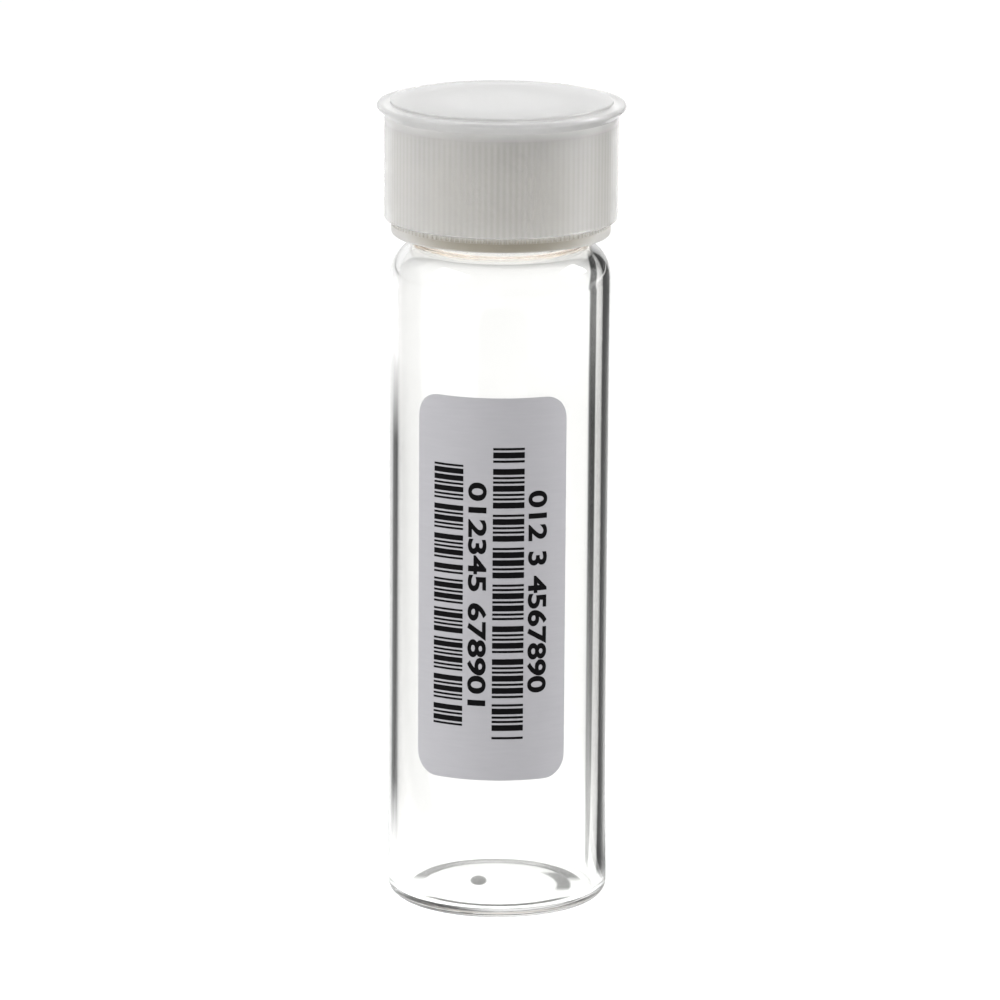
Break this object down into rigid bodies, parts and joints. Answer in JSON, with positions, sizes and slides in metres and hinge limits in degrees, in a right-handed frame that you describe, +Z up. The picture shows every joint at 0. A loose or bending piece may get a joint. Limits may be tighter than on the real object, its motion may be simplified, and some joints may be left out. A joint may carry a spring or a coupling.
{
  "type": "glass sample vial",
  "caption": "Clear glass screw-neck sample vial with a label, an open-top ribbed screw cap over a septum and a push-on dust cover.",
  "frame": {"origin": "centre of the foot, on the plane that the vial stands on", "axes": "+Z up along the vial's axis, -Y towards the front, where the label is, +X to the right of the label"},
  "size_m": [0.0306, 0.0306, 0.101],
  "materials": {
    "glass": "polished",
    "label_film": "satin",
    "septum_rubber": "matte",
    "cap_plastic": "satin",
    "cover_plastic": "satin"
  },
  "bodies": {
    "vial": {"glass_vial": "glass", "label": "label_film"},
    "septum": {"septum": "septum_rubber"},
    "cap": {"screw_cap": "cap_plastic"},
    "cover": {"dust_cover": "cover_plastic"}
  },
  "joints": [
    {"name": "cap_lift", "type": "slide", "parent": "vial", "child": "septum", "axis": [0, 0, 1], "range_m": [0, 0.01115]},
    {"name": "cap_turn", "type": "hinge", "parent": "septum", "child": "cap", "pos_m": [0, 0, 0.092], "axis": [0, 0, 1], "range_deg": [0, 1260]},
    {"name": "dust_cover_pull", "type": "slide", "parent": "cap", "child": "cover", "axis": [0, 0, 1], "range_m": [0, 0.018]}
  ],
  "couplings": [
    {"joint": "cap_lift", "follows": "cap_turn", "m_per_rad": 0.00050532}
  ]
}
